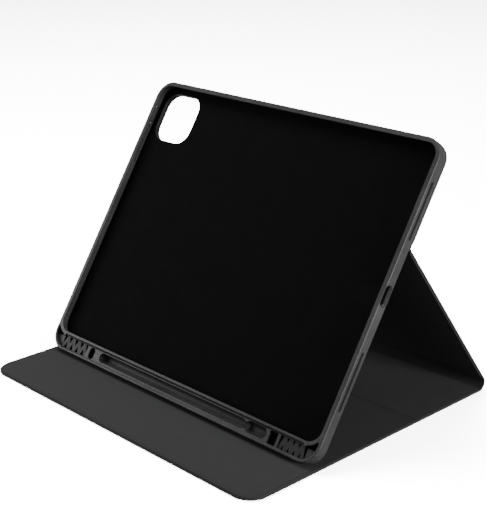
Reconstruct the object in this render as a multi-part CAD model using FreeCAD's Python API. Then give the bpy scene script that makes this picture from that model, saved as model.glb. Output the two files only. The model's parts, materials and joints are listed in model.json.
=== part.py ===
"""Folio case for a 13-inch tablet, standing open: a moulded tray leans on its
folding brace, and its foot rests on the open front cover."""
import FreeCAD, Part
import math
import os
from FreeCAD import Placement, Rotation, Vector

# ---------------- driving dimensions, millimetres and degrees ----------------
# The tablet that the tray holds, lying landscape.
TABLET_LENGTH = 281.6
TABLET_HEIGHT = 215.5
TABLET_THICKNESS = 5.1
TABLET_PLAY = 0.2

# Tray. It is drawn in its own frame: X across, Y up from its foot, Z out of the screen side.
LIP_OVERHANG = 1.2
LIP_THICKNESS = 0.8
TRAY_RIM = 3.5
TRAY_BAND = 14.8
TRAY_DEPTH = 7.8
TRAY_CORNER_R = 14.5
OPENING_CORNER_R = 10.0
FOOT_R = 3.4
EDGE_ROUND = 0.9
LINING_THICKNESS = 0.4
LINING_PLAY = 0.2
PLATE_THICKNESS = 1.3

# Stylus band under the opening.
BAND_STEP = 1.2
LOWER_RIM = 2.5
LIP_FACE = 1.6
BAND_SLOT = 9.1
CHANNEL_MID = 7.45
CHANNEL_R = 3.85
CHANNEL_LEFT = -84.7
CHANNEL_NECK = 74.0
CHANNEL_RIGHT = 96.8
BULB_R = 4.3
LACE_HOLE_X = -94.3
LACE_HOLE_WIDTH = 6.4
POCKET_DEPTH = 6.4
LATTICE_PERIODS = 4
LATTICE_RIB = 3.1
LATTICE_DEPTH = 2.0
LEFT_LATTICE = (-131.6, -100.6)
RIGHT_LATTICE = (108.4, 132.4)
END_HOLE = (98.8, 106.4)
CORNER_FLOOR_X = 131.6
CORNER_FLOOR_DEPTH = 2.6
CORNER_GAP_LOW = 10.8

# Cut-outs and keys.
PORT_LENGTH = 14.6
PORT_WIDTH = 5.6
PORT_DEPTH = 3.6
SPEAKER_LENGTH = 41.0
SPEAKER_WIDTH = 1.4
SPEAKER_OFFSET = 60.5
SPEAKER_STEP = 0.8
PORT_STEP = 1.4
EDGE_STEP = 0.4
SIDE_DEPTH = 4.0
CAMERA_SIZE = 40.0
CAMERA_CORNER_R = 12.0
CAMERA_INSET = 25.0
CAMERA_RING = 1.6
KEY_LENGTH = 13.6
KEY_WIDTH = 3.0
KEY_GAP = 0.35
KEY_PROUD = 0.7
VOLUME_KEYS_X = (-112.0, -94.0)
POWER_KEY_DOWN = 29.0

# Folio panels: skin, stiffening board and lining make one thickness.
PANEL_WIDTH = 284.4
PANEL_CORNER_R = 14.5
SKIN = 0.8
BOARD = 1.0
LINING = 0.6
PANEL = SKIN + BOARD + LINING
PANEL_HEM = 2.6

# Standing pose.
TILT = 57.35
FRONT_APRON = 59.5
FOLD_HEIGHT = 157.0
RUNNING_GAP = 0.35
CREASE_FROM_SPINE = 75.2
CREASE_GAP = 1.0
HINGE_GAP = 3.0
SPINE_END_GAP = 4.0

# Magnets.
BAR = (24.0, 6.0)
FOOT_MAGNET_X = (-96.0, -48.0, 48.0, 96.0)
CLOSING_MAGNET_X = (-108.0, 108.0)

# ---------------- worked out from the above ----------------
OPENING_LENGTH = TABLET_LENGTH - 2 * LIP_OVERHANG
OPENING_HEIGHT = TABLET_HEIGHT - 2 * LIP_OVERHANG
TRAY_LENGTH = OPENING_LENGTH + 2 * TRAY_RIM
TRAY_HEIGHT = TRAY_BAND + OPENING_HEIGHT + TRAY_RIM
OPENING_MID = TRAY_BAND + OPENING_HEIGHT / 2
POCKET_LENGTH = TABLET_LENGTH + 2 * TABLET_PLAY
POCKET_HEIGHT = TABLET_HEIGHT + 2 * TABLET_PLAY
POCKET_FLOOR = LIP_THICKNESS + TABLET_THICKNESS + TABLET_PLAY
WALL = (TRAY_LENGTH - POCKET_LENGTH) / 2
SLOT_TOP = LOWER_RIM + BAND_SLOT

# The foot's rounding and the spine share one height above the cover, and the brace is as
# long as the lower tray, so the foot stays on the cover while the stand folds.
AXIS_HEIGHT = PANEL + RUNNING_GAP + FOOT_R
FOOT_DEPTH = TRAY_DEPTH - FOOT_R
FOLD_DEPTH = TRAY_DEPTH + RUNNING_GAP + PANEL
BRACE_LENGTH = FOLD_HEIGHT - FOOT_R
ARM = math.hypot(BRACE_LENGTH, AXIS_HEIGHT)
ARM_OFFSET = math.degrees(math.atan2(AXIS_HEIGHT, BRACE_LENGTH))
ARM_RISE = TILT - ARM_OFFSET
BRACE_RISE = ARM_RISE - ARM_OFFSET
FOOT_TO_SPINE = 2 * ARM * math.cos(math.radians(ARM_RISE))
TOTAL_DEPTH = FRONT_APRON + FOOT_TO_SPINE + AXIS_HEIGHT
FRONT_EDGE_Y = -TOTAL_DEPTH / 2
FOOT_Y = FRONT_EDGE_Y + FRONT_APRON
SPINE_Y = FOOT_Y + FOOT_TO_SPINE
CREASE_Y = SPINE_Y - CREASE_FROM_SPINE
SPINE_TOP_ANGLE = 90.0 - BRACE_RISE

X_AXIS = Vector(1, 0, 0)
Z_AXIS = Vector(0, 0, 1)


# ---------------- drawing helpers ----------------
def rounded_face(x0, y0, x1, y1, radii):
    """Flat rectangle in XY; radii are lower left, lower right, upper right, upper left."""
    corners = ((x0, y0, 180), (x1, y0, 270), (x1, y1, 0), (x0, y1, 90))
    inward = ((1, 1), (-1, 1), (-1, -1), (1, -1))
    edges = []
    ends = []
    for (cx, cy, start), (ix, iy), radius in zip(corners, inward, radii):
        if radius <= 0:
            ends.append((Vector(cx, cy, 0), Vector(cx, cy, 0), None))
            continue
        middle = Vector(cx + ix * radius, cy + iy * radius, 0)
        arc = Part.Arc(Part.Circle(middle, Z_AXIS, radius),
                       math.radians(start), math.radians(start + 90)).toShape()
        ends.append((arc.valueAt(arc.FirstParameter), arc.valueAt(arc.LastParameter), arc))
    for index, (_, leave, arc) in enumerate(ends):
        if arc is not None:
            edges.append(arc)
        arrive = ends[(index + 1) % 4][0]
        edges.append(Part.makeLine(leave, arrive))
    return Part.Face(Part.Wire(edges))


def slab(x0, y0, x1, y1, z0, z1, radii=(0, 0, 0, 0)):
    face = rounded_face(x0, y0, x1, y1, radii)
    return face.extrude(Vector(0, 0, z1 - z0)).translated(Vector(0, 0, z0))


def box(x0, y0, z0, x1, y1, z1):
    return Part.makeBox(x1 - x0, y1 - y0, z1 - z0, Vector(x0, y0, z0))


def rod(start, direction, radius, length):
    return Part.makeCylinder(radius, length, start, direction)


def joined(shapes):
    return shapes[0].fuse(shapes[1:]).removeSplitter()


def one_solid(shape):
    """The single solid inside a boolean's result."""
    return max(shape.Solids, key=lambda solid: solid.Volume)


def tray_slab(x0, y0, x1, y1, depth0, depth1, radii=(0, 0, 0, 0)):
    """Slab in the tray's frame between two depths behind its front plane."""
    return slab(x0, y0, x1, y1, -depth1, -depth0, radii)


# ---------------- placements ----------------
def tray_placement():
    """Tray frame to standing pose: the foot's centre comes to its place over the cover."""
    turn = Rotation(X_AXIS, TILT)
    foot = turn.multVec(Vector(0, FOOT_R, -FOOT_DEPTH))
    return Placement(Vector(0, FOOT_Y, AXIS_HEIGHT) - foot, turn)


def brace_placement():
    """Panel frame, with its origin on the spine axis and Y towards the fold."""
    return Placement(Vector(0, SPINE_Y, AXIS_HEIGHT), Rotation(X_AXIS, 180.0 - BRACE_RISE))


# ---------------- folio panels ----------------
def panel_parts(x0, y0, x1, y1, z0, radii, magnets):
    """Skin with a bonded hem, board with magnet pockets, lining and the magnets."""
    inner_radii = [max(radius - PANEL_HEM, 0) for radius in radii]
    board_box = (x0 + PANEL_HEM, y0 + PANEL_HEM, x1 - PANEL_HEM, y1 - PANEL_HEM)
    board_low = z0 + SKIN
    board_high = board_low + BOARD
    board = slab(*board_box, board_low, board_high, inner_radii)
    skin = slab(x0, y0, x1, y1, z0, board_high, radii).cut(board)
    lining = slab(x0, y0, x1, y1, board_high, board_high + LINING, radii)
    bars = []
    for mx, my in magnets:
        half_x = BAR[0] / 2
        half_y = BAR[1] / 2
        bars.append(box(mx - half_x, my - half_y, board_low, mx + half_x, my + half_y, board_high))
    if bars:
        board = board.cut(Part.makeCompound(bars))
    return one_solid(skin), one_solid(board), lining, bars


def cover_front():
    half = PANEL_WIDTH / 2
    corner = PANEL_CORNER_R
    foot_row = [(x, FOOT_Y) for x in FOOT_MAGNET_X]
    closing_row = [(x, FRONT_EDGE_Y + 3 * BAR[1]) for x in CLOSING_MAGNET_X]
    skin, board, lining, bars = panel_parts(
        -half, FRONT_EDGE_Y, half, CREASE_Y - CREASE_GAP / 2, 0,
        (corner, corner, 0, 0), foot_row + closing_row)
    return {"cover_front_skin": skin, "cover_front_board": board, "cover_front_lining": lining,
            "foot_magnets": Part.makeCompound(bars[:len(foot_row)]),
            "closing_magnets": Part.makeCompound(bars[len(foot_row):])}


def cover_rear():
    half = PANEL_WIDTH / 2
    skin, board, lining, _ = panel_parts(
        -half, CREASE_Y + CREASE_GAP / 2, half, SPINE_Y - RUNNING_GAP, 0, (0, 0, 0, 0), [])
    return {"cover_rear_skin": skin, "cover_rear_board": board, "cover_rear_lining": lining}


def spine_point(radius, angle):
    """Point of the spine's section, at an angle from level, in the plane of its left end."""
    turn = math.radians(angle)
    return Vector(-PANEL_WIDTH / 2, SPINE_Y + radius * math.cos(turn),
                  AXIS_HEIGHT + radius * math.sin(turn))


def spine_strip(outer, inner):
    """Strip bent round the spine axis, from the cover's plane to where the brace starts."""
    angles = (-90.0, (SPINE_TOP_ANGLE - 90.0) / 2, SPINE_TOP_ANGLE)
    outside = [spine_point(outer, angle) for angle in angles]
    inside = [spine_point(inner, angle) for angle in angles]
    section = Part.Wire([Part.Arc(*outside).toShape(), Part.makeLine(outside[2], inside[2]),
                         Part.Arc(*reversed(inside)).toShape(), Part.makeLine(inside[0], outside[0])])
    return Part.Face(section).extrude(X_AXIS * PANEL_WIDTH)


def spine():
    middle = AXIS_HEIGHT - SKIN
    return {"spine_skin": spine_strip(AXIS_HEIGHT, middle),
            "spine_lining": spine_strip(middle, middle - LINING)}


def brace():
    half = PANEL_WIDTH / 2
    magnet_row = [(x, SPINE_END_GAP + 2.5 * BAR[1]) for x in FOOT_MAGNET_X]
    skin, board, lining, bars = panel_parts(
        -half, SPINE_END_GAP, half, BRACE_LENGTH - HINGE_GAP / 2, -AXIS_HEIGHT,
        (0, 0, 0, 0), magnet_row)
    parts = {"brace_skin": skin, "brace_board": board, "brace_lining": lining,
             "brace_magnets": Part.makeCompound(bars)}
    return {name: shape.transformed(brace_placement().toMatrix()) for name, shape in parts.items()}


# ---------------- tray ----------------
def frame_blank():
    """The tray's outer block, with rounded front edges and the rolling foot at its lower back."""
    half = TRAY_LENGTH / 2
    block = tray_slab(-half, 0, half, TRAY_HEIGHT, 0, TRAY_DEPTH, [TRAY_CORNER_R] * 4)
    front_edges = [edge for edge in block.Edges if edge.BoundBox.ZMin > -1e-6]
    block = block.makeFillet(EDGE_ROUND, front_edges)
    corner = box(-half - 1, -1, -TRAY_DEPTH - 1, half + 1, FOOT_R, -FOOT_DEPTH)
    roller = rod(Vector(-half - 2, FOOT_R, -FOOT_DEPTH), X_AXIS, FOOT_R, TRAY_LENGTH + 4)
    corner = corner.cut(roller)
    return block.cut(corner)


def opening_cut():
    half_opening = OPENING_LENGTH / 2
    half_pocket = POCKET_LENGTH / 2
    through = tray_slab(-half_opening, TRAY_BAND, half_opening, TRAY_BAND + OPENING_HEIGHT,
                        -1, LIP_THICKNESS + 0.5, [OPENING_CORNER_R] * 4)
    pocket_r = OPENING_CORNER_R + (POCKET_LENGTH - OPENING_LENGTH) / 2
    low = OPENING_MID - POCKET_HEIGHT / 2
    pocket = tray_slab(-half_pocket, low, half_pocket, low + POCKET_HEIGHT,
                       LIP_THICKNESS, TRAY_DEPTH + 1, [pocket_r] * 4)
    return through, pocket


def channel_cut():
    """Stylus trough with a round left end, a neck and a wider bulb for a fingertip."""
    axis_depth = BAND_STEP + 1.4
    start = Vector(CHANNEL_LEFT + CHANNEL_R, CHANNEL_MID, -axis_depth)
    trough = rod(start, X_AXIS, CHANNEL_R, CHANNEL_NECK - start.x)
    left_end = Part.makeSphere(CHANNEL_R, start)
    bulb_start = Vector(CHANNEL_NECK + 2 + BULB_R, CHANNEL_MID, -axis_depth)
    bulb_end = Vector(CHANNEL_RIGHT - BULB_R, CHANNEL_MID, -axis_depth)
    bulb = rod(bulb_start, X_AXIS, BULB_R, bulb_end.x - bulb_start.x)
    caps = [Part.makeSphere(BULB_R, bulb_start), Part.makeSphere(BULB_R, bulb_end)]
    neck = rod(Vector(CHANNEL_NECK - 1, CHANNEL_MID, -axis_depth), X_AXIS, 3.0, 8.0)
    return joined([trough, left_end, bulb, neck] + caps)


def corner_recess(side):
    """Shallow floor beside the lattice and a deep gap outside the opening's rounded lip."""
    centre_x = side * (OPENING_LENGTH / 2 - OPENING_CORNER_R)
    centre_y = TRAY_BAND + OPENING_CORNER_R
    inner_r = OPENING_CORNER_R + (POCKET_LENGTH - OPENING_LENGTH) / 2 + 1.2
    outer_half = TRAY_LENGTH / 2 - 2.2
    cuts = []
    for low, high, depth in ((LOWER_RIM, SLOT_TOP, CORNER_FLOOR_DEPTH),
                             (CORNER_GAP_LOW, 17.0, POCKET_DEPTH)):
        block = tray_slab(-outer_half, 2.2, outer_half, TRAY_HEIGHT, -1, depth,
                          [TRAY_CORNER_R - 2.2] * 4)
        window_x = sorted((side * CORNER_FLOOR_X, side * 145.0))
        window = tray_slab(window_x[0], low, window_x[1], high, -2, TRAY_DEPTH)
        cuts.append(block.common(window))
    keep_out = rod(Vector(centre_x, centre_y, -TRAY_DEPTH - 1), Z_AXIS, inner_r, TRAY_DEPTH + 2)
    return joined(cuts).cut(keep_out)


def band_step():
    """Recess of the band's face, with slanted sides up to the lip and down to the lower rim."""
    half_clear = OPENING_LENGTH / 2 - OPENING_CORNER_R
    outline = ((LOWER_RIM - 0.9, 1), (LOWER_RIM - 0.9, 0), (LOWER_RIM - 0.1, -BAND_STEP),
               (SLOT_TOP + 0.1, -BAND_STEP), (TRAY_BAND - LIP_FACE, 0), (TRAY_BAND - LIP_FACE, 1))
    points = [Vector(-half_clear, y, z) for y, z in outline]
    face = Part.Face(Part.makePolygon(points + [points[0]]))
    return face.extrude(X_AXIS * (2 * half_clear))


def band_cuts():
    """Everything taken out of the band below the opening."""
    slot_low = LOWER_RIM
    slot_high = SLOT_TOP
    cuts = [band_step(), channel_cut()]
    hole_half = LACE_HOLE_WIDTH / 2
    cuts.append(tray_slab(LACE_HOLE_X - hole_half, slot_low, LACE_HOLE_X + hole_half, slot_high,
                          0, POCKET_DEPTH, [hole_half - 0.05] * 4))
    cuts.append(tray_slab(END_HOLE[0], slot_low, END_HOLE[1], slot_high, 0, POCKET_DEPTH,
                          [0.8] * 4))
    for left, right in (LEFT_LATTICE, RIGHT_LATTICE):
        cuts.append(tray_slab(left, slot_low, right, slot_high, -1, POCKET_DEPTH))
    cuts += [corner_recess(-1), corner_recess(1)]
    return cuts


def side_cuts():
    """Port and speaker openings: speakers on both short sides, the port on the right one."""
    cuts = []
    outside = TRAY_LENGTH / 2 + 1
    through = WALL + 2
    for side in (-1, 1):
        start_x = outside - through if side > 0 else -outside
        step_x = outside - 1 - EDGE_STEP if side > 0 else -outside
        for offset in (-SPEAKER_OFFSET, SPEAKER_OFFSET):
            middle = OPENING_MID + offset
            cuts.append(stadium_across(start_x, through, middle, SIDE_DEPTH,
                                       SPEAKER_LENGTH, SPEAKER_WIDTH))
            cuts.append(stadium_across(step_x, 1 + EDGE_STEP, middle, SIDE_DEPTH,
                                       SPEAKER_LENGTH + SPEAKER_STEP,
                                       SPEAKER_WIDTH + SPEAKER_STEP))
    cuts.append(stadium_across(outside - through, through, OPENING_MID, PORT_DEPTH,
                               PORT_LENGTH, PORT_WIDTH))
    cuts.append(stadium_across(outside - 1 - EDGE_STEP, 1 + EDGE_STEP, OPENING_MID, PORT_DEPTH,
                               PORT_LENGTH + PORT_STEP, PORT_WIDTH + PORT_STEP))
    return cuts


def stadium_across(start_x, length_x, middle_y, depth, long_side, width):
    """Slot with round ends, cut along X, lying along the tray's side."""
    radius = width / 2
    run = long_side / 2 - radius
    low = Vector(start_x, middle_y - run, -depth)
    high = Vector(start_x, middle_y + run, -depth)
    flat = box(start_x, low.y, -depth - radius, start_x + length_x, high.y, -depth + radius)
    ends = [rod(point, X_AXIS, radius, length_x) for point in (low, high)]
    return joined([flat] + ends)


def key_block(grow, inside, proud):
    """A key lying along X on the top edge, centred on X = 0; grow widens it into its hole."""
    half_length = KEY_LENGTH / 2 + grow
    half_width = KEY_WIDTH / 2 + grow
    face = rounded_face(-half_length, -half_width, half_length, half_width, [half_width - 0.05] * 4)
    return face.extrude(Vector(0, 0, inside + proud)).translated(Vector(0, 0, -inside))


def key_places():
    """Placements that stand a key block on the tray's top edge or left edge."""
    top = Rotation(X_AXIS, -90)
    left = Rotation(Z_AXIS, 90) * Rotation(X_AXIS, -90)
    places = {}
    for name, x in zip(("volume_up_key", "volume_down_key"), VOLUME_KEYS_X):
        places[name] = Placement(Vector(x, TRAY_HEIGHT, -SIDE_DEPTH), top)
    places["power_key"] = Placement(
        Vector(-TRAY_LENGTH / 2, TRAY_HEIGHT - POWER_KEY_DOWN, -SIDE_DEPTH), left)
    return places


def keys():
    solids = {}
    for name, place in key_places().items():
        block = key_block(0, WALL - 0.1, KEY_PROUD)
        top_edges = [edge for edge in block.Edges if edge.BoundBox.ZMin > KEY_PROUD - 1e-6]
        block = block.makeFillet(0.45, top_edges)
        solids[name] = block.transformed((tray_placement() * place).toMatrix())
    return solids


def key_holes():
    return [key_block(KEY_GAP, WALL + 0.5, 1.0).transformed(place.toMatrix())
            for place in key_places().values()]


def tray_frame():
    frame = frame_blank()
    through, pocket = opening_cut()
    cuts = [through, pocket] + band_cuts() + side_cuts() + key_holes()
    for tool in cuts:
        frame = frame.cut(tool)
    return one_solid(frame.removeSplitter())


def lattice(left, right):
    """Zigzag bumper: slanted ribs between the two long walls of its pocket."""
    low = LOWER_RIM
    high = SLOT_TOP
    pitch = (right - left - LATTICE_RIB) / (2 * LATTICE_PERIODS)
    ribs = []
    for index in range(2 * LATTICE_PERIODS):
        x = left + index * pitch
        start_y, end_y = (low, high) if index % 2 == 0 else (high, low)
        points = [Vector(x, start_y, 0), Vector(x + LATTICE_RIB, start_y, 0),
                  Vector(x + pitch + LATTICE_RIB, end_y, 0), Vector(x + pitch, end_y, 0)]
        face = Part.Face(Part.makePolygon(points + [points[0]]))
        ribs.append(face.extrude(Vector(0, 0, POCKET_DEPTH - LATTICE_DEPTH)))
    return joined(ribs).translated(Vector(0, 0, -POCKET_DEPTH))


def camera_centre():
    return (-TABLET_LENGTH / 2 + CAMERA_INSET,
            OPENING_MID + TABLET_HEIGHT / 2 - CAMERA_INSET)


def camera_slab(grow, depth0, depth1):
    x, y = camera_centre()
    half = CAMERA_SIZE / 2 + grow
    return tray_slab(x - half, y - half, x + half, y + half, depth0, depth1,
                     [CAMERA_CORNER_R + grow] * 4)


def tray_floor():
    """Back plate with magnet pockets, its lining and the magnets in it."""
    half = POCKET_LENGTH / 2
    low = OPENING_MID - POCKET_HEIGHT / 2
    corner = OPENING_CORNER_R + (POCKET_LENGTH - OPENING_LENGTH) / 2
    plate_front = TRAY_DEPTH - PLATE_THICKNESS
    lining_front = plate_front - LINING_THICKNESS
    outline = (-half, low, half, low + POCKET_HEIGHT)
    plate = tray_slab(*outline, plate_front, TRAY_DEPTH, [corner] * 4)
    lining = tray_slab(-half + LINING_PLAY, low + LINING_PLAY, half - LINING_PLAY,
                       low + POCKET_HEIGHT - LINING_PLAY, lining_front, plate_front,
                       [corner - LINING_PLAY] * 4)
    hole = camera_slab(0, 0, TRAY_DEPTH + 1)
    bars = []
    row_y = low + 1.5 * BAR[1]
    for x in FOOT_MAGNET_X:
        bars.append(tray_slab(x - BAR[0] / 2, row_y - BAR[1] / 2, x + BAR[0] / 2,
                              row_y + BAR[1] / 2, plate_front, plate_front + BOARD))
    plate = plate.cut(hole).cut(Part.makeCompound(bars))
    return {"back_plate": one_solid(plate), "tray_lining": lining.cut(hole),
            "tray_magnets": Part.makeCompound(bars)}


def upper_back():
    """The folio's fixed upper back panel, bonded to the tray above the fold."""
    half = TRAY_LENGTH / 2 - RUNNING_GAP
    low = FOLD_HEIGHT + HINGE_GAP / 2
    high = TRAY_HEIGHT - RUNNING_GAP
    skin_front = FOLD_DEPTH - SKIN
    outline = (-half, low, half, high)
    radii = (0, 0, TRAY_CORNER_R, TRAY_CORNER_R)
    hem_outline = (-half + PANEL_HEM, low + PANEL_HEM, half - PANEL_HEM, high - PANEL_HEM)
    inner = (0, 0, TRAY_CORNER_R - PANEL_HEM, TRAY_CORNER_R - PANEL_HEM)
    board = tray_slab(*hem_outline, TRAY_DEPTH, skin_front, inner)
    skin = tray_slab(*outline, TRAY_DEPTH, FOLD_DEPTH, radii).cut(board)
    ring_hole = camera_slab(CAMERA_RING, TRAY_DEPTH, FOLD_DEPTH + 1)
    ring = camera_slab(CAMERA_RING, TRAY_DEPTH, FOLD_DEPTH + 0.5)
    ring = ring.cut(camera_slab(0, 0, FOLD_DEPTH + 2))
    return {"upper_back_skin": one_solid(skin.cut(ring_hole)),
            "upper_back_board": one_solid(board.cut(ring_hole)),
            "camera_ring": one_solid(ring)}


def tray():
    parts = {"tray_frame": tray_frame(),
             "left_bumper_lattice": lattice(*LEFT_LATTICE),
             "right_bumper_lattice": lattice(*RIGHT_LATTICE)}
    parts.update(tray_floor())
    parts.update(upper_back())
    return {name: shape.transformed(tray_placement().toMatrix()) for name, shape in parts.items()}


def main():
    os.makedirs("parts", exist_ok=True)
    nodes = {}
    for group in (cover_front, cover_rear, spine, brace, tray, keys):
        nodes.update(group())
    for name, shape in nodes.items():
        shape.exportStep("parts/%s.step" % name)


main()
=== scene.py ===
"""Looks of a folio tablet case standing open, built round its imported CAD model."""
import json
import math

import bpy
import numpy as np
from mathutils import Matrix, Vector


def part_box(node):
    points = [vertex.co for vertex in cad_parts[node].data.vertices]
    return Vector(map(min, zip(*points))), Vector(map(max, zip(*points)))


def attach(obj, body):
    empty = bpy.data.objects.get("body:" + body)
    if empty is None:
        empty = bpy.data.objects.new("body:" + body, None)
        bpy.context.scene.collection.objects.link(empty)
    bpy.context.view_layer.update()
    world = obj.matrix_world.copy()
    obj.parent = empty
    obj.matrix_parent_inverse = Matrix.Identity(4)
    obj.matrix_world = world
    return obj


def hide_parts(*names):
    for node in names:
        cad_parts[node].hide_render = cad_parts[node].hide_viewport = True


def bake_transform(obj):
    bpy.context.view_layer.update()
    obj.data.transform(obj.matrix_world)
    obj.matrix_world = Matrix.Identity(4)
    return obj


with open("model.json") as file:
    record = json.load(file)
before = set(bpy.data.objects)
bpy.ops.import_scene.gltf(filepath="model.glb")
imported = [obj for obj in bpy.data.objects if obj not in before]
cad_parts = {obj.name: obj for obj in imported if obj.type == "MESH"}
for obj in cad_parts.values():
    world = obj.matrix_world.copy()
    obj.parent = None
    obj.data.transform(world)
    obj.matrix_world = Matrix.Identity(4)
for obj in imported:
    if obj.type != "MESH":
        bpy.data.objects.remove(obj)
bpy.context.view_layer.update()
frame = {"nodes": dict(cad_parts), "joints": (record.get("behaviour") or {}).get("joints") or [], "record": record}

record = frame["record"]
nodes = frame["nodes"]
MM = 0.001


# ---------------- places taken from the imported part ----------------
def joint_point(name):
    for joint in frame["joints"]:
        if joint["name"] == name:
            return np.array(joint["pos_m"], float)
    raise KeyError(name)


def mount_axis(name):
    for mount in record["mounts"]:
        if mount["name"] == name:
            return np.array(mount["axis"], float)
    raise KeyError(name)


SPINE = joint_point("stand_fold")
FOLD = joint_point("tray_fold")
CREASE = joint_point("crease_fold")
SEAT = mount_axis("tablet_seat")
UP = np.array((0.0, SEAT[2], -SEAT[1]))
FRONT_LOW, FRONT_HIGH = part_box("cover_front_skin")
HALF = FRONT_HIGH.x
FRONT_Y = FRONT_LOW.y
HEM = FRONT_HIGH.z
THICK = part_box("cover_front_lining")[1].z
SKIN = 0.8 * MM
LINING = THICK - HEM
SPINE_R = SPINE[2]
TILT = math.atan2(UP[2], UP[1])
ARM = FOLD - SPINE
BRACE_LENGTH = math.sqrt(float(ARM @ ARM) - SPINE_R ** 2)
BRACE_RISE = math.atan2(ARM[2], -ARM[1]) - math.atan2(SPINE_R, BRACE_LENGTH)


def along_tray(name):
    """Lowest and highest reach of a CAD node up the tray, measured from the fold."""
    points = np.array([v.co for v in nodes[name].data.vertices], float)
    reach = (points - FOLD) @ UP
    return float(reach.min()), float(reach.max())


def behind_tray(name):
    """Nearest and furthest reach of a CAD node in front of the fold's plane."""
    points = np.array([v.co for v in nodes[name].data.vertices], float)
    reach = (points - FOLD) @ SEAT
    return float(reach.min()), float(reach.max())


BACK_TOP = along_tray("upper_back_skin")[1]
BACK_HEM = behind_tray("upper_back_skin")[1]
CORNER_R = 14.5 * MM
BACK_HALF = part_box("upper_back_skin")[1].x
BACK_CORNER_R = 14.1 * MM
BOARD_INSET = 2.6 * MM
CREASE_HALF = 0.5 * MM
FOLD_TANGENT = 1.5 * MM
STRIP_END = 4.0 * MM
BORDER_INSET = 1.45 * MM
SHARP_ANGLE = math.radians(35)
WIDE_GAP = 16 * MM
PANEL_GAP = 12 * MM
LINING_INSET = 0.4 * MM
BACK_FLARE = 5 * MM
RING_CUT_R = 13.6 * MM
LINER_CORNER_R = 10.3 * MM
LINER_HOLE_HALF = 20 * MM
LINER_HOLE_R = 12 * MM
# reach of the ambient occlusion that paints shade into the hollows of moulded plastic
PAINTED_SHADE_REACH = 6 * MM
FLOOR_LEVEL = -0.0003
FLOOR_REACH = 4


# ---------------- the folio's path from its front edge to the top of the back ----------------
class Path:
    """Outer face of the folio in the YZ plane, by length from the front edge."""

    def __init__(self):
        self.base = SPINE[1] - FRONT_Y
        self.turn = math.pi - BRACE_RISE
        self.arc_end = self.base + SPINE_R * self.turn
        fold_turn = self.turn - TILT
        self.fold_r = FOLD_TANGENT / math.tan(fold_turn / 2)
        self.fold_start = self.arc_end + BRACE_LENGTH - FOLD_TANGENT
        self.fold_end = self.fold_start + self.fold_r * fold_turn
        self.top = self.fold_end + BACK_TOP - FOLD_TANGENT
        self.crease = CREASE[1] - FRONT_Y
        self.brace_dir = np.array((math.cos(self.turn), math.sin(self.turn)))
        self.tray_dir = np.array((math.cos(TILT), math.sin(TILT)))

    def at(self, s):
        """Outer point and inward normal for an array of lengths, each as (N, 2) of y and z."""
        s = np.asarray(s, float)
        point = np.zeros((len(s), 2))
        angle = np.zeros(len(s))
        flat = s <= self.base
        point[flat] = np.stack([FRONT_Y + s[flat], 0 * s[flat]], 1)
        bend = (s > self.base) & (s <= self.arc_end)
        turned = (s[bend] - self.base) / SPINE_R
        point[bend] = np.stack([SPINE[1] + SPINE_R * np.sin(turned),
                                SPINE[2] - SPINE_R * np.cos(turned)], 1)
        angle[bend] = turned
        start = np.array((SPINE[1] + SPINE_R * math.sin(self.turn),
                          SPINE[2] - SPINE_R * math.cos(self.turn)))
        brace = (s > self.arc_end) & (s <= self.fold_start)
        point[brace] = start + (s[brace] - self.arc_end)[:, None] * self.brace_dir
        angle[brace] = self.turn
        corner = start + (self.fold_start - self.arc_end) * self.brace_dir
        centre = corner + self.fold_r * np.array((self.brace_dir[1], -self.brace_dir[0]))
        fold = (s > self.fold_start) & (s <= self.fold_end)
        turned = self.turn - (s[fold] - self.fold_start) / self.fold_r
        inward = np.stack([-np.sin(turned), np.cos(turned)], 1)
        point[fold] = centre + self.fold_r * inward
        angle[fold] = turned
        back = s > self.fold_end
        fold_point = np.array(FOLD[1:])
        away = (s[back] - self.fold_end + FOLD_TANGENT)[:, None]
        point[back] = fold_point + away * self.tray_dir
        angle[back] = TILT
        return point, np.stack([-np.sin(angle), np.cos(angle)], 1)


path = Path()


def step(value, edge0, edge1):
    """Smooth rise from 0 to 1 between two edges."""
    t = np.clip((value - edge0) / (edge1 - edge0), 0, 1)
    return t * t * (3 - 2 * t)


def bump_at(value, middle, width):
    """A soft peak of height 1."""
    return np.exp(-((value - middle) / width) ** 2)


def window(value, low, high, ramp):
    """1 between low and high, fading to 0 over the ramp outside them."""
    return step(value, low - ramp, low) * (1 - step(value, high, high + ramp))


def lift(s):
    """Height of the bonded layer between skin and lining: full on the panels, low at the bends."""
    limp = window(s, path.base - 0.35 * MM, path.arc_end + STRIP_END, 1.0 * MM)
    limp = np.maximum(limp, window(s, path.fold_start - 0.6 * MM, path.fold_end + 0.6 * MM,
                                   0.9 * MM))
    return HEM - (HEM - SKIN) * limp


def crease_press(s):
    """Two pressed lines with a slightly sunk band between them."""
    lines = bump_at(s, path.crease - 1.4 * MM, 0.38 * MM)
    lines = lines + bump_at(s, path.crease + 1.4 * MM, 0.38 * MM)
    band = window(s, path.crease - 1.1 * MM, path.crease + 1.1 * MM, 0.4 * MM)
    return 0.34 * MM * lines + 0.12 * MM * band


def board_zone(s):
    """1 where a stiffening board lies under the skin, measured along the path."""
    zones = ((BOARD_INSET, path.crease - CREASE_HALF - BOARD_INSET),
             (path.crease + CREASE_HALF + BOARD_INSET, path.base - 0.35 * MM - BOARD_INSET),
             (path.arc_end + STRIP_END + BOARD_INSET, path.fold_start - BOARD_INSET),
             (path.fold_end + BOARD_INSET, path.top - BOARD_INSET))
    inside = np.zeros_like(s)
    for low, high in zones:
        inside = np.maximum(inside, window(s, low + 0.2 * MM, high - 0.2 * MM, 0.2 * MM))
    return inside


def rounding(d, radius):
    """How far a rounded edge drops at a distance from the outline."""
    inner = np.clip(radius - d, 0, radius)
    return radius - np.sqrt(np.maximum(radius ** 2 - inner ** 2, 0))


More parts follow.
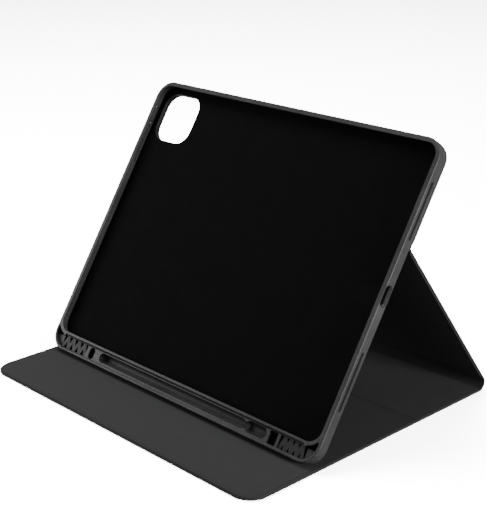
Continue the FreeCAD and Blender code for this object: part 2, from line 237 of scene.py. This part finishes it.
def border_line(d):
    """Depth of the line pressed along the edge."""
    return 0.26 * MM * bump_at(d, BORDER_INSET, 0.3 * MM)


def skin_outer(s, d):
    """How far the outer face of the skin is pressed in from the path."""
    score = bump_at(s, path.base, 0.5 * MM) + bump_at(s, path.arc_end, 0.5 * MM)
    return (rounding(d, 0.55 * MM) + 0.7 * border_line(d) + 0.6 * crease_press(s)
            + 0.16 * MM * score)


def skin_inner(s, d):
    """Height of the skin's inner side, with a flat hollow for each board."""
    back = step(s, path.fold_end + 0.4 * MM, path.fold_end + 1.4 * MM)
    high = lift(s) * (1 - back) + (BACK_HEM - 0.02 * MM) * back
    board = board_zone(s) * step(d, BOARD_INSET, BOARD_INSET + 0.2 * MM)
    return high - (high - SKIN) * board - crease_press(s)


def lining_outer(s, d):
    """Height of the lining's side that is bonded to the skin."""
    return lift(s) - crease_press(s)


def lining_inner(s, d):
    """Height of the lining's free side."""
    low = lift(s) - crease_press(s)
    return low + LINING - rounding(d, 0.3 * MM) - border_line(d)


# ---------------- mesh building ----------------
EDGE_LINES = np.array((0, 0.05, 0.14, 0.28, 0.45, 0.65, 0.9, 1.1, 1.25, 1.4, 1.55, 1.7, 1.85,
                       2.1, 2.55, 2.85, 4.0, 5.5, 7.5, 9.5, 11.5, 13.2)) * MM


def spaced(low, high, gap):
    """Even lines no further apart than the gap."""
    count = max(1, int(math.ceil((high - low) / gap)))
    return np.linspace(low, high, count + 1)


def merged(*parts):
    """Sorted grid lines with near doubles taken out."""
    lines = np.unique(np.concatenate([np.asarray(p, float) for p in parts]))
    keep = [lines[0]]
    for value in lines[1:]:
        if value - keep[-1] > 0.03 * MM:
            keep.append(value)
    return np.array(keep)


def across_lines(half, radius, inset=0.0):
    edge = EDGE_LINES[EDGE_LINES < radius - inset - 0.3 * MM]
    side = half - inset - edge
    middle = spaced(-(half - inset - (radius - inset)), half - inset - (radius - inset), WIDE_GAP)
    return merged(-side, middle, side)


def to_arc(a, b, radius):
    """Square corner coordinates to a quarter disc, so that insets become concentric arcs."""
    big = np.maximum(a, b)
    safe = np.maximum(big, 1e-9)
    angle = np.where(a >= b, math.pi / 4 * b / safe, math.pi / 2 - math.pi / 4 * a / safe)
    return big * np.cos(angle), big * np.sin(angle)


def rounded_grid(xs, ss, half, start=None, end=None):
    """Grid of (x, s) with round corners; start and end are (edge position, corner radius)."""
    x, s = np.meshgrid(xs, ss)
    d = half - np.abs(x)
    flat_x, flat_s = x.copy(), s.copy()
    for edge, sign in ((start, 1), (end, -1)):
        if edge is None:
            continue
        position, radius = edge
        inward = (flat_s - position) * sign
        d = np.minimum(d, inward)
        if radius <= 0:
            continue
        a = np.abs(flat_x) - (half - radius)
        b = radius - inward
        corner = (a > 0) & (b > 0)
        new_a, new_b = to_arc(a[corner], b[corner], radius)
        x[corner] = np.sign(flat_x[corner]) * (half - radius + new_a)
        s[corner] = position + sign * (radius - new_b)
    return x, s, np.maximum(d, 0)


def make_object(name, verts, faces):
    mesh = bpy.data.meshes.new(name)
    mesh.from_pydata([tuple(v) for v in verts], [], faces)
    mesh.validate()
    mesh.update()
    mesh.shade_smooth()
    mesh.set_sharp_from_angle(angle=SHARP_ANGLE)
    obj = bpy.data.objects.new(name, mesh)
    bpy.context.scene.collection.objects.link(obj)
    return obj


def closed_shell(name, upper, lower):
    """Closed mesh between two grids of points of the same shape (rows, columns, 3)."""
    rows, cols = upper.shape[:2]
    verts = np.concatenate([upper.reshape(-1, 3), lower.reshape(-1, 3)])
    base = rows * cols

    def top(r, c):
        return r * cols + c

    faces = []
    for r in range(rows - 1):
        for c in range(cols - 1):
            faces.append((top(r, c), top(r, c + 1), top(r + 1, c + 1), top(r + 1, c)))
            faces.append((base + top(r, c), base + top(r + 1, c),
                          base + top(r + 1, c + 1), base + top(r, c + 1)))
    rim = [top(0, c) for c in range(cols)]
    rim += [top(r, cols - 1) for r in range(1, rows)]
    rim += [top(rows - 1, c) for c in range(cols - 2, -1, -1)]
    rim += [top(r, 0) for r in range(rows - 2, 0, -1)]
    for here, there in zip(rim, rim[1:] + rim[:1]):
        faces.append((there, here, base + here, base + there))
    return make_object(name, verts, faces)


def folio_sheet(name, s_lines, outer, inner, inset=0.0, start=None, end=None):
    """A layer of the folio between two height functions, laid along the folio's path."""
    half = HALF - inset
    x, s, d = rounded_grid(across_lines(HALF, CORNER_R, inset), s_lines, half, start, end)
    x *= 1 + (BACK_HALF / HALF - 1) * step(s, path.fold_end, path.fold_end + BACK_FLARE)
    point, normal = path.at(s.ravel())
    shells = []
    for height in (inner, outer):
        n = height(s, d).ravel()[:, None]
        yz = point + n * normal
        shells.append(np.column_stack([x.ravel(), yz]).reshape(*x.shape, 3))
    return closed_shell(name, shells[0], shells[1])


def edge_run(position, sign):
    return position + sign * EDGE_LINES


def fine_run(middle, reach, gap=0.3 * MM):
    return spaced(middle - reach, middle + reach, gap)


MID_REAR = (path.crease + path.base) / 2
MID_SPINE = (path.base + path.arc_end) / 2
MID_BRACE = (path.arc_end + path.fold_start) / 2


def s_lines_front(inset=0.0):
    return merged(edge_run(inset, 1)[EDGE_LINES < CORNER_R - inset - 0.3 * MM],
                  spaced(CORNER_R, path.crease - 8 * MM, PANEL_GAP),
                  fine_run(path.crease - 1.4 * MM, 1.2 * MM, 0.2 * MM),
                  fine_run(path.crease + 1.4 * MM, 1.2 * MM, 0.2 * MM),
                  spaced(path.crease - 6 * MM, path.crease + 6 * MM, 1.0 * MM),
                  spaced(path.crease + 8 * MM, MID_REAR, 10 * MM))


def s_lines_rear():
    return merged(spaced(MID_REAR, path.base - 6 * MM, 10 * MM),
                  spaced(path.base - 5 * MM, path.base, 0.5 * MM),
                  spaced(path.base, MID_SPINE, 0.45 * MM))


def s_lines_spine():
    return merged(spaced(MID_SPINE, path.arc_end, 0.45 * MM),
                  spaced(path.arc_end, path.arc_end + 8 * MM, 0.5 * MM),
                  spaced(path.arc_end + 10 * MM, MID_BRACE, PANEL_GAP))


def s_lines_back(stop, edge=True):
    ending = edge_run(stop, -1) if edge else []
    return merged(spaced(MID_BRACE, path.fold_start - 8 * MM, PANEL_GAP),
                  spaced(path.fold_start - 6 * MM, path.fold_start, 0.5 * MM),
                  spaced(path.fold_start, path.fold_end, 0.25 * MM),
                  spaced(path.fold_end, min(stop, path.fold_end + 4 * MM), 0.4 * MM),
                  spaced(min(stop, path.fold_end + 6 * MM), stop - 15 * MM, PANEL_GAP)
                  if stop > path.fold_end + 30 * MM else [stop],
                  ending)


# ---------------- materials ----------------
class Nodes:
    """Short names for building one procedural material."""

    def __init__(self, name):
        self.material = bpy.data.materials.new(name)
        self.material.use_nodes = True
        self.tree = self.material.node_tree
        self.shader = self.tree.nodes["Principled BSDF"]
        self.place = self.add("ShaderNodeTexCoord").outputs["Object"]

    def add(self, kind, **values):
        node = self.tree.nodes.new(kind)
        for key, value in values.items():
            setattr(node, key, value)
        return node

    def link(self, source, target):
        self.tree.links.new(source, target)

    def stretched(self, scale):
        mapping = self.add("ShaderNodeMapping")
        mapping.inputs["Scale"].default_value = scale
        self.link(self.place, mapping.inputs["Vector"])
        return mapping.outputs["Vector"]

    def noise(self, scale, detail=3.0, rough=0.55, vector=None):
        node = self.add("ShaderNodeTexNoise")
        node.inputs["Scale"].default_value = scale
        node.inputs["Detail"].default_value = detail
        node.inputs["Roughness"].default_value = rough
        self.link(vector or self.place, node.inputs["Vector"])
        return node.outputs["Fac"]

    def cells(self, scale, feature="F1", vector=None):
        node = self.add("ShaderNodeTexVoronoi", feature=feature)
        node.inputs["Scale"].default_value = scale
        self.link(vector or self.place, node.inputs["Vector"])
        return node.outputs["Distance"]

    def ramp(self, source, low, high, dark, light):
        node = self.add("ShaderNodeMapRange")
        node.inputs["From Min"].default_value = low
        node.inputs["From Max"].default_value = high
        node.inputs["To Min"].default_value = dark
        node.inputs["To Max"].default_value = light
        self.link(source, node.inputs["Value"])
        return node.outputs["Result"]

    def math(self, operation, first, second):
        node = self.add("ShaderNodeMath", operation=operation)
        for value, socket in zip((first, second), node.inputs):
            if isinstance(value, (int, float)):
                socket.default_value = value
            else:
                self.link(value, socket)
        return node.outputs[0]

    def colour_mix(self, factor):
        """A colour mixer's two inputs and its output."""
        node = self.add("ShaderNodeMix", data_type="RGBA")
        base, top = [socket for socket in node.inputs if socket.type == "RGBA"]
        self.link(factor, node.inputs["Factor"])
        return base, top, [o for o in node.outputs if o.type == "RGBA"][0]

    def tint(self, factor, dark, light):
        """A colour between two plain ones."""
        base, top, mixed = self.colour_mix(factor)
        base.default_value = (*dark, 1)
        top.default_value = (*light, 1)
        return mixed

    def hollow(self, reach):
        """Painted shade mask from ambient occlusion over the same piece: 0 deep in a slot or channel, 1 in the
        open.
        """
        node = self.add("ShaderNodeAmbientOcclusion", samples=8, only_local=True)
        node.inputs["Distance"].default_value = reach
        return self.ramp(node.outputs["AO"], 0.35, 0.95, 0.0, 1.0)

    def over(self, factor, dark, colour):
        """Fades a colour to a dark one where the factor falls to 0."""
        base, top, mixed = self.colour_mix(factor)
        base.default_value = (*dark, 1)
        self.link(colour, top)
        return mixed

    def colour(self, source):
        self.link(source, self.shader.inputs["Base Color"])

    def roughness(self, source):
        self.link(source, self.shader.inputs["Roughness"])

    def bump(self, height, depth, strength=1.0):
        node = self.add("ShaderNodeBump")
        node.inputs["Distance"].default_value = depth
        node.inputs["Strength"].default_value = strength
        self.link(height, node.inputs["Height"])
        self.link(node.outputs["Normal"], self.shader.inputs["Normal"])

    def set(self, **values):
        for key, value in values.items():
            self.shader.inputs[key.replace("_", " ")].default_value = value


def shade(level, cool=0.0):
    return (level * (1 - cool), level, level * (1 + cool))


def microfibre(name, level, spread=0.16, sheen=0.04, gloss=0.15):
    """Brushed cloth with fine nap and sparse lint."""
    m = Nodes(name)
    fibre = m.noise(2600, 3, 0.7)
    nap = m.noise(70, 4, 0.6)
    brushed = m.noise(1, 3, 0.6, m.stretched((40, 420, 420)))
    mixed = m.math("ADD", m.math("MULTIPLY", fibre, 0.5), m.math("MULTIPLY", nap, 0.3))
    mixed = m.math("ADD", mixed, m.math("MULTIPLY", brushed, 0.2))
    tone = m.ramp(mixed, 0.36, 0.64, 0.0, 1.0)
    napped = m.tint(tone, shade(level * (1 - spread), 0.01), shade(level * (1 + spread), 0.012))
    lint = m.ramp(m.noise(800, 1, 0.4), 0.70, 0.80, 1.0, 0.0)
    m.colour(m.over(lint, shade(level * 1.8), napped))
    m.roughness(m.ramp(nap, 0.3, 0.7, 0.86, 0.97))
    m.bump(mixed, 0.00012, 0.6)
    m.set(Sheen_Weight=sheen, Sheen_Roughness=0.45, Specular_IOR_Level=gloss)
    return m.material


def coated_fabric(name, level):
    """Fine pebbled coating, a little worn."""
    m = Nodes(name)
    warp = m.noise(500, 2, 0.5)
    pebble = m.cells(1500, "SMOOTH_F1")
    crack = m.cells(1500, "DISTANCE_TO_EDGE")
    wear = m.noise(45, 4, 0.6)
    grain = m.math("ADD", m.ramp(crack, 0.0, 0.12, 0.0, 0.6), m.math("MULTIPLY", pebble, -0.5))
    height = m.math("ADD", grain, m.math("MULTIPLY", warp, 0.35))
    tone = m.math("ADD", m.math("MULTIPLY", wear, 0.6), m.ramp(crack, 0.0, 0.1, 0.0, 0.4))
    m.colour(m.tint(tone, shade(level * 0.72), shade(level * 1.2)))
    m.roughness(m.ramp(wear, 0.3, 0.7, 0.46, 0.58))
    m.bump(height, 0.00016, 0.5)
    m.set(Specular_IOR_Level=0.45)
    return m.material


def moulded(name, level, rough=0.42, grain=0.5, fine=3200):
    """Matt moulded plastic with fine grain, with painted shade from ambient occlusion darkening its slots and
    channels.
    """
    m = Nodes(name)
    spark = m.noise(fine, 3, 0.7)
    speck = m.noise(1300, 2, 0.6)
    cloud = m.noise(38, 3, 0.5)
    tone = m.math("ADD", m.math("MULTIPLY", speck, 0.7), m.math("MULTIPLY", cloud, 0.3))
    tone = m.ramp(tone, 0.41, 0.59, 0.0, 1.0)
    grained = m.tint(tone, shade(level * 0.5), shade(level * 1.5, 0.01))
    painted_shade_mask = m.hollow(PAINTED_SHADE_REACH)
    # painted shade: the grained colour fades to near black deep in the piece's own slots and channels, where
    # ambient occlusion finds them
    m.colour(m.over(painted_shade_mask, shade(level * 0.08), grained))
    dull = m.ramp(painted_shade_mask, 0.0, 1.0, 0.35, 0.0)
    m.roughness(m.math("ADD", m.ramp(spark, 0.3, 0.7, rough - 0.05, rough + 0.06), dull))
    m.bump(spark, 0.00008, grain)
    m.set(Specular_IOR_Level=0.3)
    return m.material


def brushed_metal(name):
    m = Nodes(name)
    lines = m.noise(1, 3, 0.6, m.stretched((60, 3000, 3000)))
    m.colour(m.tint(lines, shade(0.45), shade(0.68)))
    m.roughness(m.ramp(lines, 0.3, 0.7, 0.22, 0.4))
    m.bump(lines, 0.00003, 0.4)
    m.set(Metallic=1.0)
    return m.material


def pressed_board(name):
    m = Nodes(name)
    pulp = m.noise(900, 5, 0.7)
    m.colour(m.tint(pulp, (0.2, 0.19, 0.17), (0.34, 0.32, 0.29)))
    m.bump(pulp, 0.0001, 0.5)
    m.set(Roughness=0.9)
    return m.material


LOOKS = {
    "folio_skin": coated_fabric("folio_skin", 0.010),
    "folio_lining": microfibre("folio_lining", 0.021),
    "board": pressed_board("board"),
    "tray_frame": moulded("tray_frame", 0.031, 0.45),
    "bumper": moulded("bumper", 0.010, 0.55),
    "back_plate": moulded("back_plate", 0.015, 0.5, 0.7, 2400),
    "tray_lining": microfibre("tray_lining", 0.003, 0.2, 0.0, 0.05),
    "magnet": brushed_metal("magnet"),
    "camera_ring": moulded("camera_ring", 0.012, 0.25, 0.15),
    "key": moulded("key", 0.033, 0.38),
}


def dress(obj, slot):
    obj.data.materials.clear()
    obj.data.materials.append(LOOKS[slot])


for row in record["subparts"]:
    dress(nodes[row["node"]], row["material_slot"])


# ---------------- the folio's pieces ----------------
def yz(s):
    """Point on the outer face at a length along the folio."""
    point, _ = path.at([s])
    return (0.0, float(point[0, 0]), float(point[0, 1]))


BLENDS = {
    "front": ("cover_rear", "cover_front", path.crease + 2.6 * MM, path.crease - 2.6 * MM),
    "rear": ("cover_rear", "spine", path.base - 1.5 * MM, MID_SPINE),
    "spine": ("spine", "brace", MID_SPINE, path.arc_end + STRIP_END),
    "back": ("brace", "tray", path.fold_start - 1.0 * MM, path.fold_end + 1.0 * MM),
}


def finish_piece(obj, where, slot, replaced):
    dress(obj, slot)
    a, b, start, end = BLENDS[where]
    yz(start)
    yz(end)
    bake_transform(obj)
    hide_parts(*replaced)
    return obj


skin_front = folio_sheet("skin_front", s_lines_front(), skin_outer, skin_inner,
                         start=(0.0, CORNER_R))
skin_rear = folio_sheet("skin_rear", s_lines_rear(), skin_outer, skin_inner)
skin_spine = folio_sheet("skin_spine", s_lines_spine(), skin_outer, skin_inner)
skin_back = folio_sheet("skin_back", s_lines_back(path.top), skin_outer, skin_inner,
                        end=(path.top, BACK_CORNER_R))
lining_front = folio_sheet("lining_front", s_lines_front(LINING_INSET), lining_outer,
                           lining_inner, LINING_INSET, start=(LINING_INSET, CORNER_R))
lining_rear = folio_sheet("lining_rear", s_lines_rear(), lining_outer, lining_inner,
                          LINING_INSET)
lining_spine = folio_sheet("lining_spine", s_lines_spine(), lining_outer, lining_inner,
                           LINING_INSET)
LINING_STOP = path.fold_end + 0.1 * MM
lining_back = folio_sheet("lining_back", s_lines_back(LINING_STOP, False), lining_outer,
                          lining_inner, LINING_INSET)


# ---------------- the camera opening in the upper back ----------------
def ring_frame():
    """Middle of the camera opening and half the width of the ring's outside, in the tray."""
    points = np.array([v.co for v in nodes["camera_ring"].data.vertices], float)
    up = (points - FOLD) @ UP
    low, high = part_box("camera_ring")
    return (low.x + high.x) / 2, (up.min() + up.max()) / 2, (high.x - low.x) / 2


def tray_point(x, up, front):
    """Point by its place across, up and in front of the tray's back."""
    return FOLD + np.array((x, 0, 0)) + up * UP + front * SEAT


def rounded_outline(cx, cy, half_x, half_y, radius, steps=10):
    points = []
    for sx, sy, start in ((1, 1, 0), (-1, 1, 90), (-1, -1, 180), (1, -1, 270)):
        for k in range(steps + 1):
            a = math.radians(start + 90 * k / steps)
            points.append((cx + sx * (half_x - radius) + radius * math.cos(a),
                           cy + sy * (half_y - radius) + radius * math.sin(a)))
    return points


def cut_through(obj, outline, front0, front1):
    """Takes a prism, given by its outline in the tray's frame, out of a mesh."""
    count = len(outline)
    verts = [tray_point(x, y, front0) for x, y in outline]
    verts += [tray_point(x, y, front1) for x, y in outline]
    faces = [tuple(range(count - 1, -1, -1)), tuple(range(count, 2 * count))]
    for k in range(count):
        other = (k + 1) % count
        faces.append((k, other, count + other, count + k))
    cutter = make_object("cutter", verts, faces)
    modifier = obj.modifiers.new("cut", "BOOLEAN")
    modifier.object = cutter
    modifier.operation = "DIFFERENCE"
    modifier.solver = "EXACT"
    graph = bpy.context.evaluated_depsgraph_get()
    mesh = bpy.data.meshes.new_from_object(obj.evaluated_get(graph))
    obj.modifiers.clear()
    obj.data = mesh
    bpy.data.objects.remove(cutter)
    mesh.shade_smooth()
    mesh.set_sharp_from_angle(angle=SHARP_ANGLE)


RING_X, RING_UP, RING_HALF = ring_frame()
cut_through(skin_back, rounded_outline(RING_X, RING_UP, RING_HALF - 0.05 * MM,
                                       RING_HALF - 0.05 * MM, RING_CUT_R), -0.01, 0.01)

# ---------------- finishing the folio ----------------
finish_piece(skin_front, "front", "folio_skin", ["cover_front_skin"])
finish_piece(skin_rear, "rear", "folio_skin", ["cover_rear_skin"])
finish_piece(skin_spine, "spine", "folio_skin", ["spine_skin", "brace_skin"])
finish_piece(skin_back, "back", "folio_skin", ["upper_back_skin"])
finish_piece(lining_front, "front", "folio_lining", ["cover_front_lining"])
finish_piece(lining_rear, "rear", "folio_lining", ["cover_rear_lining"])
finish_piece(lining_spine, "spine", "folio_lining", ["spine_lining", "brace_lining"])
finish_piece(lining_back, "back", "folio_lining", [])


# ---------------- the tray's lining ----------------
def tray_liner():
    """Thin microfibre sheet on the tray's floor, with a pressed edge and the camera hole."""
    up0, up1 = along_tray("tray_lining")
    back, front = behind_tray("tray_lining")
    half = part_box("tray_lining")[1].x - 0.1 * MM
    radius = LINER_CORNER_R
    edge = EDGE_LINES[EDGE_LINES < radius - 0.3 * MM]
    reach = half - radius
    xs = merged(-(half - edge), spaced(-reach, reach, WIDE_GAP), half - edge)
    low, high = up0 + 0.1 * MM, up1 - 0.1 * MM
    ss = merged(low + edge, spaced(low + radius, high - radius, WIDE_GAP), high - edge)
    x, s, d = rounded_grid(xs, ss, half, (low, radius), (high, radius))
    drop = rounding(d, 0.25 * MM) + 0.12 * MM * bump_at(d, 1.4 * MM, 0.3 * MM)
    shells = []
    for height in (front - drop, back + 0.02 * MM + 0 * drop):
        places = (FOLD + np.stack([x, 0 * x, 0 * x], -1) + s[..., None] * UP
                  + height[..., None] * SEAT)
        shells.append(places)
    obj = closed_shell("tray_liner", shells[0], shells[1])
    cut_through(obj, rounded_outline(RING_X, RING_UP, LINER_HOLE_HALF, LINER_HOLE_HALF,
                                     LINER_HOLE_R), -0.01, 0.02)
    dress(obj, "tray_lining")
    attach(obj, "tray")
    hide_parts("tray_lining")


tray_liner()


# ---------------- stage, light and camera ----------------
FLOOR_WHITE = 12.0
WORLD_SEEN = 6.0


def make_floor():
    """Pale floor, drawn whiter for the camera than it lights the object."""
    verts = [(x * FLOOR_REACH, y * FLOOR_REACH, FLOOR_LEVEL)
             for x, y in ((-1, -1), (1, -1), (1, 1), (-1, 1))]
    floor = make_object("floor", verts, [(0, 1, 2, 3)])
    m = Nodes("floor")
    m.set(Base_Color=(0.3, 0.3, 0.3, 1), Roughness=0.9, Specular_IOR_Level=0.0)
    seen = m.add("ShaderNodeBsdfDiffuse")
    seen.inputs["Color"].default_value = (FLOOR_WHITE, FLOOR_WHITE, FLOOR_WHITE, 1)
    mix = m.add("ShaderNodeMixShader")
    m.link(m.add("ShaderNodeLightPath").outputs["Is Camera Ray"], mix.inputs["Fac"])
    m.link(m.shader.outputs["BSDF"], mix.inputs[1])
    m.link(seen.outputs["BSDF"], mix.inputs[2])
    m.link(mix.outputs[0], m.tree.nodes["Material Output"].inputs["Surface"])
    floor.data.materials.append(m.material)


def area_light(name, place, target, size, watts):
    """A rectangular lamp aimed at a point."""
    data = bpy.data.lights.new(name, "AREA")
    data.shape = "RECTANGLE"
    data.size, data.size_y = size
    data.energy = watts
    obj = bpy.data.objects.new(name, data)
    bpy.context.scene.collection.objects.link(obj)
    obj.location = place
    aim = Vector(target) - Vector(place)
    obj.rotation_euler = aim.to_track_quat("-Z", "Y").to_euler()


def make_world(strength):
    """Even white light, drawn brighter for the camera than it lights the object."""
    world = bpy.data.worlds.new("studio")
    bpy.context.scene.world = world
    world.use_nodes = True
    tree = world.node_tree
    plain = tree.nodes["Background"]
    plain.inputs["Color"].default_value = (1, 1, 1, 1)
    plain.inputs["Strength"].default_value = strength
    seen = tree.nodes.new("ShaderNodeBackground")
    seen.inputs["Color"].default_value = (1, 1, 1, 1)
    seen.inputs["Strength"].default_value = WORLD_SEEN
    mix = tree.nodes.new("ShaderNodeMixShader")
    rays = tree.nodes.new("ShaderNodeLightPath")
    tree.links.new(rays.outputs["Is Camera Ray"], mix.inputs["Fac"])
    tree.links.new(plain.outputs[0], mix.inputs[1])
    tree.links.new(seen.outputs[0], mix.inputs[2])
    tree.links.new(mix.outputs[0], tree.nodes["World Output"].inputs["Surface"])


def make_camera(place, yaw, pitch, roll, lens):
    """Camera turned left by yaw, down by pitch and about its axis by roll, in degrees."""
    yaw, pitch, roll = (math.radians(v) for v in (yaw, pitch, roll))
    ahead = Vector((-math.sin(yaw) * math.cos(pitch), math.cos(yaw) * math.cos(pitch),
                    -math.sin(pitch)))
    right = Vector((math.cos(yaw), math.sin(yaw), 0))
    down = ahead.cross(right)
    level = math.cos(roll) * right + math.sin(roll) * down
    under = math.cos(roll) * down - math.sin(roll) * right
    data = bpy.data.cameras.new("camera")
    data.lens = lens
    data.sensor_width = 36
    data.clip_end = 20
    obj = bpy.data.objects.new("camera", data)
    obj.matrix_world = Matrix.Translation(place) @ Matrix(
        (level, -under, -ahead)).transposed().to_4x4()
    bpy.context.scene.collection.objects.link(obj)
    bpy.context.scene.camera = obj


make_floor()
make_world(0.27)
area_light("key", (-0.7, 0.0, 1.8), (0, 0, 0.05), (1.0, 1.0), 33)
area_light("side", (1.7, 0.05, 0.4), (0, 0, 0.1), (0.6, 0.6), 52)
area_light("fill", (-0.75, -0.4, 0.22), (-0.14, 0, 0.08), (0.4, 0.4), 3.4)
make_camera((0.637036, -0.599077, 0.401655), 46.2735, 19.1128, 0.2399, 89.226)
